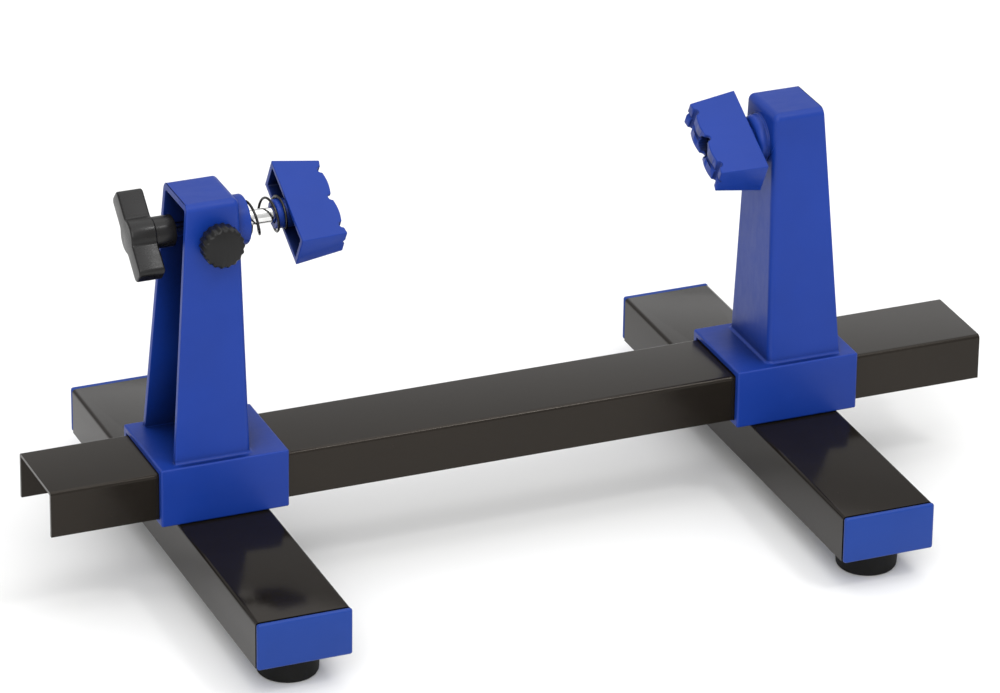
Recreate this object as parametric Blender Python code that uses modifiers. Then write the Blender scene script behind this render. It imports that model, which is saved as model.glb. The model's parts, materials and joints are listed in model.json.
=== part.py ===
"""Circuit board holder: two sliding stands on a steel rail, with turning jaws.

X runs along the rail, Y from the rear feet to the front feet (front is -Y), Z up.
The floor is Z = 0 and the middle of the rail is X = 0. Units are metres.
"""
import math

import bmesh
import bpy
from mathutils import Euler, Matrix, Vector

MM = 0.001
GAP = 0.3 * MM

RAIL_LENGTH = 295 * MM
RAIL_WIDTH = 28.2 * MM
RAIL_HEIGHT = 14.25 * MM
RAIL_BOTTOM = 26.1 * MM
SHEET = 1.0 * MM
BEND_RADIUS = 1.1 * MM

FOOT_LENGTH = 163.5 * MM
FOOT_WIDTH = 28.6 * MM
FOOT_BOTTOM = 9.5 * MM
FOOT_TOP = 24.0 * MM
CAP_PLATE = 1.7 * MM
CAP_EDGE = 0.6 * MM
PLUG_DEPTH = 24 * MM
PLUG_RAISE = 0.05 * MM
PAD_RADIUS = 9.5 * MM
PAD_PLACE = 67 * MM
PAD_TOP_EDGE = 0.4 * MM
PAD_DRAFT = 0.5 * MM
PAD_SOLE_ROUND = 1.4 * MM
PEG_RADIUS = 3 * MM
PEG_TOP = 19 * MM
PEG_LEAD_IN = 0.7 * MM

LEFT_X = -95.3 * MM
RIGHT_X = 86.1 * MM
SLEEVE_LENGTH = 39.2 * MM
SLEEVE_HALF_DEPTH = 16.5 * MM
SLEEVE_BOTTOM = FOOT_TOP + GAP
SLEEVE_TOP = 42.55 * MM
SLEEVE_EDGE = 0.7 * MM
POST_TOP = 121.1 * MM
POST_ROOT = 1.0 * MM
POST_WALL = 2.0 * MM
POST_OUTER = (14.5 * MM, 8.6 * MM)
POST_INNER = (8.8 * MM, 7.4 * MM)
POST_DEPTH = (14.1 * MM, 9.9 * MM)
POST_EDGE = 2.2 * MM
OPEN_SIDE_REACH = 5 * MM

AXIS_Z = 110 * MM
COLLAR_RADIUS = 7.4 * MM
COLLAR_ROOT = 6.5 * MM
LEFT_COLLAR_REACH = 12.0 * MM
RIGHT_COLLAR_REACH = 10.6 * MM
BOSS_RADIUS = 5.5 * MM
BOSS_REACH = 3.0 * MM
SIDE_BOSS_RADIUS = 5.0 * MM
SIDE_BOSS_FRONT = -9.0 * MM
CUT_REACH = 30 * MM
SHAFT_RADIUS = 2.25 * MM
SHAFT_OUTER_X = -116.5 * MM
SHAFT_CHAMFER = 0.4 * MM
SHAFT_TAP_DEPTH = 7.0 * MM
SHAFT_IN_JAW = 6.8 * MM

LEFT_JAW_TILT = math.radians(29.6)
RIGHT_JAW_TILT = math.radians(28.2)
JAW_DEPTH = 14.6 * MM
JAW_LENGTH = (26.6 * MM, 29.5 * MM)
JAW_THICK = (8.5 * MM, 11.3 * MM)
JAW_WALL = 1.6 * MM
JAW_FLOOR = 5.5 * MM
JAW_BOSS_RADIUS = 4.3 * MM
JAW_BOSS_REACH = 3.3 * MM
JAW_SHOULDER = 0.1 * MM
HEAD_SEAT = 4.8 * MM
HEAD_RECESS_RADIUS = 3.2 * MM
LEFT_BORE_FLOOR = 6.5 * MM
RIGHT_BORE_FLOOR = HEAD_SEAT
NOTCH_PITCH = 10.0 * MM
NOTCH_HALF = 1.1 * MM
NOTCH_DEPTH = 1.7 * MM
SCALLOP_RISE = 0.5 * MM
GROOVE_HALF = 1.0 * MM
LEFT_JAW_FACE = -56.5 * MM
RIGHT_JAW_FACE = 60.1 * MM

WING_TILT = math.radians(41.9)
WING_SPAN = 27.0 * MM
WING_THICK = 6.2 * MM
WING_TIP_RADIUS = 2.4 * MM
WING_DEPTH = 7.8 * MM
WING_EDGE = 0.5 * MM
WING_CENTRE_X = -114.9 * MM
BULGE_RADIUS = 5.2 * MM
BULGE_PROUD = 0.2 * MM
HUB_RADIUS = 4.65 * MM
HUB_END_X = -104.9 * MM

CLAMP_KNOB_RADIUS = 6.2 * MM
CLAMP_KNOB_DEPTH = 6.6 * MM
CLAMP_KNOB_FRONT = -18 * MM
CLAMP_KNOB_FACE_EDGE = 0.7 * MM
CLAMP_KNOB_BACK_EDGE = 1.0 * MM
CLAMP_KNOB_BLIND = 2.2 * MM
FLUTES = 18
FLUTE_RADIUS = 0.62 * MM
FLUTE_OFFSET = 0.25 * MM
CLAMP_SCREW_RADIUS = 2.0 * MM
CLAMP_SCREW_START = -15.5 * MM
INSERT_RADIUS = 3.2 * MM
INSERT_START_Y = -10.2 * MM
INSERT_END_Y = -4.6 * MM

SPRING_RADIUS = 5.05 * MM
SPRING_WIRE = 0.45 * MM
SPRING_TURNS = 3.1
SPRING_STEPS = 20
SPRING_END_X = LEFT_JAW_FACE - JAW_DEPTH - 0.75 * MM
SPRING_START_X = LEFT_X + LEFT_COLLAR_REACH + 0.75 * MM

BAR_SCREW_PLACE = 7 * MM
BAR_SCREW_RADIUS = 1.5 * MM
BAR_SCREW_HEAD_RADIUS = 3.0 * MM
BAR_SCREW_HEAD_HEIGHT = 2.0 * MM
PILLAR_RADIUS = 3.6 * MM
PILLAR_TOP = 36 * MM
PILLAR_ROOF = 2 * MM

PIVOT_RADIUS = 2.0 * MM
PIVOT_HEAD_RADIUS = 2.8 * MM
PIVOT_HEAD_HEIGHT = 1.8 * MM
PIVOT_HEAD_SINK = HEAD_SEAT - GAP
JAW_SCREW_LENGTH = 8 * MM
PIVOT_WALL = 5.7 * MM
PIVOT_REACH = 6.6 * MM
WASHER_RADIUS = 4.5 * MM
WASHER_THICK = 0.8 * MM
NUT_RADIUS = 4.05 * MM
NUT_THICK = 3.2 * MM
SLOT_HALF = 0.3 * MM
SCREW_CHAMFER = 0.4 * MM

ROUND_STEPS = 32
HOLE_STEPS = 24

for old in list(bpy.data.objects):
    bpy.data.objects.remove(old, do_unlink=True)


def new_collection(name):
    """A fresh collection linked to the scene."""
    collection = bpy.data.collections.new(name)
    bpy.context.scene.collection.children.link(collection)
    return collection


PARTS = new_collection("circuit_board_holder")
CUTTERS = new_collection("cutters")


def material(name, colour, roughness, metallic=0.0):
    """A plain Principled material."""
    result = bpy.data.materials.new(name)
    result.use_nodes = True
    shader = result.node_tree.nodes["Principled BSDF"]
    shader.inputs["Base Color"].default_value = (*colour, 1.0)
    shader.inputs["Roughness"].default_value = roughness
    shader.inputs["Metallic"].default_value = metallic
    return result


BLUE = material("blue_abs", (0.02, 0.045, 0.33), 0.42)
BLACK_STEEL = material("black_painted_steel", (0.022, 0.019, 0.017), 0.32)
BLACK_PLASTIC = material("black_plastic", (0.012, 0.012, 0.012), 0.38)
RUBBER = material("black_rubber", (0.018, 0.018, 0.018), 0.8)
CHROME = material("chromed_steel", (0.72, 0.72, 0.72), 0.16, 1.0)
SPRING_STEEL = material("blackened_spring_steel", (0.03, 0.03, 0.03), 0.35, 1.0)
BRASS = material("brass", (0.72, 0.5, 0.2), 0.3, 1.0)
ZINC = material("zinc_plated_steel", (0.6, 0.6, 0.58), 0.3, 1.0)


def link(name, mesh, collection, look=None):
    """Make an object from a mesh and put it in a collection."""
    item = bpy.data.objects.new(name, mesh)
    collection.objects.link(item)
    if look is not None:
        mesh.materials.clear()
        mesh.materials.append(look)
    if collection is CUTTERS:
        item.hide_render = True
        item.display_type = "WIRE"
    return item


def box_mesh(name, low, high):
    """A closed box between two corners."""
    low = Vector(low)
    high = Vector(high)
    shape = bmesh.new()
    bmesh.ops.create_cube(shape, size=1.0)
    size = high - low
    bmesh.ops.scale(shape, verts=shape.verts, vec=size)
    bmesh.ops.translate(shape, verts=shape.verts, vec=(low + high) / 2)
    mesh = bpy.data.meshes.new(name)
    shape.to_mesh(mesh)
    shape.free()
    return mesh


def cylinder_mesh(name, radius, start, end, steps=ROUND_STEPS):
    """A closed cylinder between two points."""
    start = Vector(start)
    end = Vector(end)
    run = end - start
    shape = bmesh.new()
    bmesh.ops.create_cone(shape, cap_ends=True, segments=steps, radius1=radius, radius2=radius, depth=run.length)
    turn = run.to_track_quat("Z", "Y").to_matrix().to_4x4()
    place = Matrix.Translation((start + end) / 2) @ turn
    bmesh.ops.transform(shape, matrix=place, verts=shape.verts)
    mesh = bpy.data.meshes.new(name)
    shape.to_mesh(mesh)
    shape.free()
    return mesh


def cut_or_join(target, mesh, operation):
    """Add an exact Boolean whose cutter lies in the target's own frame."""
    cutter = link(target.name + "_" + operation.lower(), mesh, CUTTERS)
    cutter.parent = target
    step = target.modifiers.new(operation.lower(), "BOOLEAN")
    step.operation = operation
    step.solver = "EXACT"
    step.object = cutter


def cut(target, mesh):
    """Take a shape away."""
    cut_or_join(target, mesh, "DIFFERENCE")


def join(target, mesh):
    """Add a shape."""
    cut_or_join(target, mesh, "UNION")


def bevel(item, width, segments=2, angle=30):
    """Round the edges that turn by more than an angle."""
    step = item.modifiers.new("rounded_edges", "BEVEL")
    step.width = width
    step.segments = segments
    step.limit_method = "ANGLE"
    step.angle_limit = math.radians(angle)


def shade_round(item, angle=35):
    """Shade curved faces smooth and keep true edges sharp."""
    item.data.shade_smooth()
    item.data.set_sharp_from_angle(angle=math.radians(angle))


def turned(name, profile, look, steps=ROUND_STEPS):
    """A solid of revolution about Z; profile is (radius, height) from top to bottom."""
    shape = bmesh.new()
    points = [shape.verts.new((radius, 0, height)) for radius, height in profile]
    for first, second in zip(points, points[1:]):
        shape.edges.new((first, second))
    mesh = bpy.data.meshes.new(name)
    shape.to_mesh(mesh)
    shape.free()
    item = link(name, mesh, PARTS, look)
    spin = item.modifiers.new("turn", "SCREW")
    spin.axis = "Z"
    spin.angle = math.tau
    spin.steps = steps
    spin.render_steps = steps
    spin.use_merge_vertices = True
    spin.merge_threshold = 0.00001
    spin.use_smooth_shade = True
    return item


def solid(name, mesh, look):
    """A named sub-part from a closed mesh."""
    return link(name, mesh, PARTS, look)


def empty(name, place, parent=None):
    """A frame that moving pieces hang on; place is in world coordinates."""
    item = bpy.data.objects.new(name, None)
    item.empty_display_size = 10 * MM
    PARTS.objects.link(item)
    if parent is not None:
        item.parent = parent
        place = Vector(place) - world_place(parent)
    item.location = place
    return item


def world_place(item):
    """World location of an unturned frame."""
    total = Vector((0, 0, 0))
    while item is not None:
        total += item.location
        item = item.parent
    return total


def hang(item, frame, place=(0, 0, 0), rotation=(0, 0, 0)):
    """Parent a piece to a frame at a world position."""
    item.parent = frame
    item.location = Vector(place) - world_place(frame)
    item.rotation_euler = Euler(rotation)
    return item


def steel_channel(name, length, width, height, along):
    """A folded steel channel, open below, with its top face at Z = 0."""
    shape = bmesh.new()
    bmesh.ops.create_cube(shape, size=1.0)
    size = Vector((length, width, height)) if along == "X" else Vector((width, length, height))
    bmesh.ops.scale(shape, verts=shape.verts, vec=size)
    bmesh.ops.translate(shape, verts=shape.verts, vec=(0, 0, -height / 2))
    run = 0 if along == "X" else 1
    loose = [face for face in shape.faces if abs(face.normal[run]) > 0.5 or face.normal.z < -0.5]
    bmesh.ops.delete(shape, geom=loose, context="FACES")
    bends = [edge for edge in shape.edges if len(edge.link_faces) == 2]
    bmesh.ops.bevel(shape, geom=bends, offset=BEND_RADIUS, segments=4, profile=0.5, affect="EDGES")
    mesh = bpy.data.meshes.new(name)
    shape.to_mesh(mesh)
    shape.free()
    item = link(name, mesh, PARTS, BLACK_STEEL)
    wall = item.modifiers.new("sheet", "SOLIDIFY")
    wall.thickness = SHEET
    wall.offset = -1
    wall.use_even_offset = True
    shade_round(item)
    return item


def frustum_mesh(name, x_bottom, x_top, y_bottom, y_top, z_bottom, z_top):
    """A box whose top is smaller than its bottom."""
    shape = bmesh.new()
    bmesh.ops.create_cube(shape, size=1.0)
    for vert in shape.verts:
        is_top = vert.co.z > 0
        x_range = x_top if is_top else x_bottom
        y_range = y_top if is_top else y_bottom
        x = x_range[1] if vert.co.x > 0 else x_range[0]
        y = y_range[1] if vert.co.y > 0 else y_range[0]
        vert.co = (x, y, z_top if is_top else z_bottom)
    mesh = bpy.data.meshes.new(name)
    shape.to_mesh(mesh)
    shape.free()
    return mesh


def post_shell():
    """Upright of a stand: solid frustum with rounded edges, open side at -X."""
    mesh = frustum_mesh(
        "post",
        (-POST_OUTER[0], POST_INNER[0]),
        (-POST_OUTER[1], POST_INNER[1]),
        (-POST_DEPTH[0], POST_DEPTH[0]),
        (-POST_DEPTH[1], POST_DEPTH[1]),
        SLEEVE_TOP - POST_ROOT,
        POST_TOP,
    )
    shape = bmesh.new()
    shape.from_mesh(mesh)
    rounded = [edge for edge in shape.edges if post_edge_is_round(edge)]
    bmesh.ops.bevel(shape, geom=rounded, offset=POST_EDGE, segments=3, profile=0.5, affect="EDGES")
    shape.to_mesh(mesh)
    shape.free()
    return mesh


def post_edge_is_round(edge):
    """True for the top edges and the two edges beside the inner face."""
    middle = (edge.verts[0].co + edge.verts[1].co) / 2
    on_open_side = max(vert.co.x for vert in edge.verts) < 0
    at_top = min(vert.co.z for vert in edge.verts) > POST_TOP - MM
    upright = abs(edge.verts[0].co.z - edge.verts[1].co.z) > MM
    if at_top:
        return not on_open_side
    return upright and middle.x > 0


def post_hollow():
    """Space inside the upright, open towards -X and closed above."""
    wall = POST_WALL
    return frustum_mesh(
        "hollow",
        (-POST_OUTER[0] - OPEN_SIDE_REACH, POST_INNER[0] - wall),
        (-POST_OUTER[1] - OPEN_SIDE_REACH, POST_INNER[1] - wall),
        (-POST_DEPTH[0] + wall, POST_DEPTH[0] - wall),
        (-POST_DEPTH[1] + wall, POST_DEPTH[1] - wall),
        SLEEVE_TOP,
        POST_TOP - wall,
    )


def stand_moulding(name, collar_reach):
    """Sleeve, upright and collar as one moulding, made with its jaw side at +X."""
    half = SLEEVE_LENGTH / 2
    sleeve = box_mesh(
        name,
        (-half, -SLEEVE_HALF_DEPTH, SLEEVE_BOTTOM),
        (half, SLEEVE_HALF_DEPTH, SLEEVE_TOP),
    )
    item = solid(name, sleeve, BLUE)
    bevel(item, SLEEVE_EDGE, 2)
    join(item, post_shell())
    cut(item, post_hollow())
    inner = RAIL_WIDTH / 2 + GAP
    channel_low = RAIL_BOTTOM - GAP
    channel_high = RAIL_BOTTOM + RAIL_HEIGHT + GAP
    cut(item, box_mesh("rail_way", (-2 * half, -inner, channel_low), (2 * half, inner, channel_high)))
    join(item, cylinder_mesh("collar", COLLAR_RADIUS, (COLLAR_ROOT, 0, AXIS_Z), (collar_reach, 0, AXIS_Z)))
    for side in (-1, 1):
        y = side * BAR_SCREW_PLACE
        pillar = cylinder_mesh("pillar", PILLAR_RADIUS, (0, y, SLEEVE_BOTTOM), (0, y, PILLAR_TOP), HOLE_STEPS)
        join(item, pillar)
        bore = BAR_SCREW_RADIUS + GAP
        low = SLEEVE_BOTTOM - MM
        cut(item, cylinder_mesh("pilot", bore, (0, y, low), (0, y, PILLAR_TOP - PILLAR_ROOF), HOLE_STEPS))
    return item


def left_moulding(frame):
    """Left stand: bearing boss for the spindle and a side boss for the clamp screw."""
    item = stand_moulding("left_post", LEFT_COLLAR_REACH)
    join(item, cylinder_mesh("bearing", BOSS_RADIUS, (-BOSS_REACH, 0, AXIS_Z), (COLLAR_ROOT, 0, AXIS_Z)))
    join(item, cylinder_mesh("side_boss", SIDE_BOSS_RADIUS, (0, SIDE_BOSS_FRONT, AXIS_Z), (0, 0, AXIS_Z)))
    bore = SHAFT_RADIUS + GAP
    cut(item, cylinder_mesh("spindle_bore", bore, (-CUT_REACH, 0, AXIS_Z), (CUT_REACH, 0, AXIS_Z)))
    seat = INSERT_RADIUS + GAP
    cut(item, cylinder_mesh("insert_bore", seat, (0, -CUT_REACH, AXIS_Z), (0, INSERT_END_Y + GAP, AXIS_Z)))
    cut(item, cylinder_mesh("stud_bore", CLAMP_SCREW_RADIUS + GAP, (0, -CUT_REACH, AXIS_Z), (0, 0, AXIS_Z)))
    return hang(item, frame, (LEFT_X, 0, 0))


def right_moulding(frame):
    """Right stand: the same moulding turned half round, with a seat for the jaw boss."""
    item = stand_moulding("right_post", RIGHT_COLLAR_REACH)
    seat = JAW_BOSS_RADIUS + GAP
    boss_end = RIGHT_JAW_FACE + JAW_DEPTH + JAW_BOSS_REACH
    seat_floor = RIGHT_X - boss_end - 2 * GAP
    cut(item, cylinder_mesh("jaw_seat", seat, (seat_floor, 0, AXIS_Z), (CUT_REACH, 0, AXIS_Z)))
    bore = PIVOT_RADIUS + GAP
    cut(item, cylinder_mesh("pivot_bore", bore, (0, 0, AXIS_Z), (CUT_REACH, 0, AXIS_Z), HOLE_STEPS))
    return hang(item, frame, (RIGHT_X, 0, 0), (0, 0, math.pi))


def jaw_half_length(depth):
    """Half length of a jaw at a depth behind its gripping face."""
    return (JAW_LENGTH[0] + (JAW_LENGTH[1] - JAW_LENGTH[0]) * depth / JAW_DEPTH) / 2


def jaw_half_thickness(depth):
    """Half thickness of a jaw at a depth behind its gripping face."""
    return (JAW_THICK[0] + (JAW_THICK[1] - JAW_THICK[0]) * depth / JAW_DEPTH) / 2


def jaw_outline():
    """Corner points of a jaw seen along its thickness: length first, depth second."""
    back = jaw_half_length(JAW_DEPTH)
    front = jaw_half_length(JAW_SHOULDER)
    points = [(-back, JAW_DEPTH), (-front, JAW_SHOULDER)]
    notches = (-NOTCH_PITCH, 0.0, NOTCH_PITCH)
    for index, centre in enumerate(notches):
        points += notch_points(centre)
        if index < 2:
            points += scallop_points(centre + NOTCH_HALF, notches[index + 1] - NOTCH_HALF)
    points += [(front, JAW_SHOULDER), (back, JAW_DEPTH)]
    return points


def notch_points(centre):
    """Round-bottomed notch across the gripping face."""
    points = []
    for step in range(7):
        angle = math.pi * step / 6
        along = centre - NOTCH_HALF * math.cos(angle)
        points.append((along, SCALLOP_RISE + (NOTCH_DEPTH - SCALLOP_RISE) * math.sin(angle)))
    return points


def scallop_points(start, end):
    """Bulging pad between two notches, without its end points."""
    points = []
    for step in range(1, 8):
        share = step / 8
        along = start + (end - start) * share
        points.append((along, SCALLOP_RISE * (1 - math.sin(math.pi * share))))
    return points


def jaw_blank(name):
    """Tapered jaw without its hollow: X is depth, Y is length, Z is thickness."""
    outline = jaw_outline()
    shape = bmesh.new()
    rings = []
    for side in (-1, 1):
        ring = [shape.verts.new((-depth, along, side * jaw_half_thickness(depth))) for along, depth in outline]
        rings.append(ring)
    for index in range(len(outline)):
        after = (index + 1) % len(outline)
        shape.faces.new((rings[0][index], rings[0][after], rings[1][after], rings[1][index]))
    shape.faces.new(rings[0])
    shape.faces.new(rings[1])
    bmesh.ops.recalc_face_normals(shape, faces=shape.faces)
    mesh = bpy.data.meshes.new(name)
    shape.to_mesh(mesh)
    shape.free()
    return mesh


def jaw_hollow():
    """Tapered space behind the gripping face."""
    shape = bmesh.new()
    bmesh.ops.create_cube(shape, size=1.0)
    for vert in shape.verts:
        depth = JAW_FLOOR if vert.co.x > 0 else 2 * JAW_DEPTH
        length = jaw_half_length(depth) - JAW_WALL
        thickness = jaw_half_thickness(depth) - JAW_WALL
        vert.co = (-depth, math.copysign(length, vert.co.y), math.copysign(thickness, vert.co.z))
    mesh = bpy.data.meshes.new("hollow")
    shape.to_mesh(mesh)
    shape.free()
    return mesh


def groove_mesh():
    """V groove along the gripping face."""
    shape = bmesh.new()
    bmesh.ops.create_cube(shape, size=1.0)
    bmesh.ops.rotate(shape, verts=shape.verts, matrix=Matrix.Rotation(math.radians(45), 3, "Y"))
    side = GROOVE_HALF * math.sqrt(2)
    bmesh.ops.scale(shape, verts=shape.verts, vec=(side, 2 * JAW_LENGTH[1], side))
    bmesh.ops.translate(shape, verts=shape.verts, vec=(-SCALLOP_RISE / 2, 0, 0))
    mesh = bpy.data.meshes.new("groove")
    shape.to_mesh(mesh)
    shape.free()
    return mesh


def jaw(name, bore, bore_floor):
    """Jaw with its gripping face at X = 0 looking to +X, hollow behind, boss at the back."""
    item = solid(name, jaw_blank(name), BLUE)
    cut(item, groove_mesh())
    cut(item, jaw_hollow())
    back = -JAW_DEPTH - JAW_BOSS_REACH
    join(item, cylinder_mesh("boss", JAW_BOSS_RADIUS, (-JAW_FLOOR + MM, 0, 0), (back, 0, 0)))
    cut(item, cylinder_mesh("bore", bore, (2 * back, 0, 0), (-bore_floor, 0, 0)))
    through = BAR_SCREW_RADIUS + GAP
    cut(item, cylinder_mesh("through", through, (2 * back, 0, 0), (CUT_REACH, 0, 0), HOLE_STEPS))
    cut(item, cylinder_mesh("head_recess", HEAD_RECESS_RADIUS, (-HEAD_SEAT, 0, 0), (CUT_REACH, 0, 0)))
    return item


def end_cap(name, frame, x, side):
    """Blue end plate with the plug that fills the end of a foot bar."""
    end = side * FOOT_LENGTH / 2
    half = FOOT_WIDTH / 2
    face = end - side * CAP_PLATE
    low_y, high_y = sorted((face, end))
    plate = box_mesh(name, (-half, low_y, FOOT_BOTTOM), (half, high_y, FOOT_TOP))
    item = solid(name, plate, BLUE)
    bevel(item, CAP_EDGE, 2)
    plug_half = FOOT_WIDTH / 2 - SHEET - GAP
    low_y, high_y = sorted((face - side * PLUG_DEPTH, end - side * CAP_PLATE / 2))
    low_z = FOOT_BOTTOM + PLUG_RAISE
    high_z = FOOT_TOP - SHEET - GAP
    join(item, box_mesh("plug", (-plug_half, low_y, low_z), (plug_half, high_y, high_z)))
    y = side * PAD_PLACE
    cut(item, cylinder_mesh("peg_hole", PEG_RADIUS + GAP, (0, y, 0), (0, y, PEG_TOP + GAP), HOLE_STEPS))
    return hang(item, frame, (x, 0, 0))


def rubber_foot(name, frame, x, side):
    """Round rubber foot with a peg that presses into the end plug."""
    rim = PAD_RADIUS
    top = FOOT_BOTTOM - GAP
    profile = [(0, PEG_TOP), (PEG_RADIUS - PEG_LEAD_IN, PEG_TOP), (PEG_RADIUS, PEG_TOP - PEG_LEAD_IN)]
    profile += [(PEG_RADIUS, top), (rim - PAD_TOP_EDGE, top), (rim, top - PAD_TOP_EDGE)]
    sole = rim - PAD_DRAFT
    profile.append((sole, PAD_SOLE_ROUND))
    for step in range(1, 5):
        angle = math.radians(22.5 * step)
        radius = sole - PAD_SOLE_ROUND * (1 - math.cos(angle))
        profile.append((radius, PAD_SOLE_ROUND * (1 - math.sin(angle))))
    profile.append((0, 0))
    item = turned(name, profile, RUBBER)
    return hang(item, frame, (x, side * PAD_PLACE, 0))


def pan_screw(name, radius, head_radius, head_height, reach):
    """Pan head screw: underside of the head at Z = 0, shank up +Z."""
    tip = radius - SCREW_CHAMFER
    profile = [(0, reach), (tip, reach), (radius, reach - SCREW_CHAMFER), (radius, 0)]
    profile += [(head_radius, 0), (head_radius, -0.45 * head_height)]
    profile += [(0.88 * head_radius, -0.8 * head_height), (0.66 * head_radius, -head_height), (0, -head_height)]
    item = turned(name, profile, ZINC, HOLE_STEPS)
    slot = 0.62 * head_radius
    slot_floor = -0.45 * head_height
    for x_half, y_half in ((slot, SLOT_HALF), (SLOT_HALF, slot)):
        cut(item, box_mesh("cross_slot", (-x_half, -y_half, -2 * head_height), (x_half, y_half, slot_floor)))
    return item


def bar_screws(prefix, frame, x):
    """Two screws that hold a foot bar under its sleeve."""
    under = FOOT_TOP - SHEET - GAP
    reach = PILLAR_TOP - PILLAR_ROOF - MM - under
    for word, side in (("front", -1), ("rear", 1)):
        name = f"{prefix}_bar_screw_{word}"
        item = pan_screw(name, BAR_SCREW_RADIUS, BAR_SCREW_HEAD_RADIUS, BAR_SCREW_HEAD_HEIGHT, reach)
        hang(item, frame, (x, side * BAR_SCREW_PLACE, under))


def foot_bar(name, frame, x):
    """Steel foot with two screw holes, set across the rail."""
    length = FOOT_LENGTH - 2 * CAP_PLATE - 2 * GAP
    item = steel_channel(name, length, FOOT_WIDTH, FOOT_TOP - FOOT_BOTTOM, "Y")
    for side in (-1, 1):
        y = side * BAR_SCREW_PLACE
        bore = BAR_SCREW_RADIUS + GAP
        cut(item, cylinder_mesh("hole", bore, (0, y, -2 * SHEET), (0, y, 2 * SHEET), HOLE_STEPS))
    return hang(item, frame, (x, 0, FOOT_TOP))


def stand_base(prefix, frame, x):
    """Foot bar, end caps, rubber feet and screws of one stand."""
    foot_bar(f"{prefix}_foot_bar", frame, x)
    for word, side in (("front", -1), ("rear", 1)):
        end_cap(f"{prefix}_{word}_cap", frame, x, side)
        rubber_foot(f"{prefix}_{word}_rubber_foot", frame, x, side)
    bar_screws(prefix, frame, x)


def wing_bar_mesh():
    """Flat wing bar with rounded tips: X is its depth, Y its long way."""
    depth = WING_DEPTH / 2
    half = WING_SPAN / 2
    thick = WING_THICK / 2
    mesh = box_mesh("wing_knob", (-depth, -half, -thick), (depth, half, thick))
    shape = bmesh.new()
    shape.from_mesh(mesh)
    tips = [edge for edge in shape.edges if abs(edge.verts[0].co.x - edge.verts[1].co.x) > MM]
    bmesh.ops.bevel(shape, geom=tips, offset=WING_TIP_RADIUS, segments=5, profile=0.5, affect="EDGES")
    shape.to_mesh(mesh)
    shape.free()
    return mesh


def wing_knob(frame):
    """Black T-shaped knob on the outer end of the spindle."""
    item = solid("wing_knob", wing_bar_mesh(), BLACK_PLASTIC)
    bevel(item, WING_EDGE, 2, 40)
    bulge = WING_DEPTH / 2 + BULGE_PROUD
    join(item, cylinder_mesh("bulge", BULGE_RADIUS, (-bulge, 0, 0), (bulge, 0, 0)))
    join(item, cylinder_mesh("hub", HUB_RADIUS, (0, 0, 0), (HUB_END_X - WING_CENTRE_X, 0, 0)))
    bore = SHAFT_RADIUS + GAP
    cut(item, cylinder_mesh("shaft_bore", bore, (SHAFT_OUTER_X - WING_CENTRE_X - GAP, 0, 0), (CUT_REACH, 0, 0)))
    return hang(item, frame, (WING_CENTRE_X, 0, AXIS_Z), (WING_TILT, 0, 0))


def spindle_shaft(frame):
    """Chromed shaft from the wing knob to the left jaw, with a tapped inner end."""
    length = LEFT_JAW_FACE - SHAFT_IN_JAW - SHAFT_OUTER_X
    rim = SHAFT_RADIUS
    bore = BAR_SCREW_RADIUS + GAP
    profile = [(0, length - SHAFT_TAP_DEPTH), (bore, length - SHAFT_TAP_DEPTH), (bore, length)]
    profile += [(rim - SHAFT_CHAMFER / 2, length), (rim, length - SHAFT_CHAMFER)]
    profile += [(rim, SHAFT_CHAMFER), (rim - SHAFT_CHAMFER, 0), (0, 0)]
    item = turned("spindle_shaft", profile, CHROME)
    return hang(item, frame, (SHAFT_OUTER_X, 0, AXIS_Z), (0, math.radians(90), 0))


def left_jaw(frame):
    """Jaw on the spindle, with the screw that holds it."""
    item = jaw("left_jaw", SHAFT_RADIUS + GAP, LEFT_BORE_FLOOR)
    hang(item, frame, (LEFT_JAW_FACE, 0, AXIS_Z), (LEFT_JAW_TILT, 0, 0))
    screw = pan_screw("left_jaw_screw", BAR_SCREW_RADIUS, PIVOT_HEAD_RADIUS, PIVOT_HEAD_HEIGHT, JAW_SCREW_LENGTH)
    hang(screw, frame, (LEFT_JAW_FACE - PIVOT_HEAD_SINK, 0, AXIS_Z), (0, -math.radians(90), 0))


def right_jaw(frame):
    """Free-turning jaw of the right stand."""
    item = jaw("right_jaw", PIVOT_RADIUS + GAP, RIGHT_BORE_FLOOR)
    return hang(item, frame, (RIGHT_JAW_FACE, 0, AXIS_Z), (-RIGHT_JAW_TILT, 0, math.pi))


def right_pivot(frame):
    """Screw, washer and nut that carry the right jaw on its post."""
    head_x = RIGHT_JAW_FACE + PIVOT_HEAD_SINK
    wall_x = RIGHT_X - PIVOT_WALL
    reach = wall_x + PIVOT_REACH - head_x
    screw = pan_screw("right_pivot_screw", PIVOT_RADIUS, PIVOT_HEAD_RADIUS, PIVOT_HEAD_HEIGHT, reach)
    hang(screw, frame, (head_x, 0, AXIS_Z), (0, math.radians(90), 0))
    drilled_disc("right_pivot_washer", WASHER_RADIUS, WASHER_THICK, ROUND_STEPS, frame, wall_x + GAP)
    nut_start = wall_x + 2 * GAP + WASHER_THICK
    drilled_disc("right_pivot_nut", NUT_RADIUS, NUT_THICK, 6, frame, nut_start)


def drilled_disc(name, radius, thickness, steps, frame, x):
    """Washer or nut on the axis of the right jaw."""
    item = solid(name, cylinder_mesh(name, radius, (0, 0, 0), (thickness, 0, 0), steps), ZINC)
    bore = PIVOT_RADIUS + GAP
    cut(item, cylinder_mesh("hole", bore, (-thickness, 0, 0), (2 * thickness, 0, 0), HOLE_STEPS))
    return hang(item, frame, (x, 0, AXIS_Z))


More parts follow.
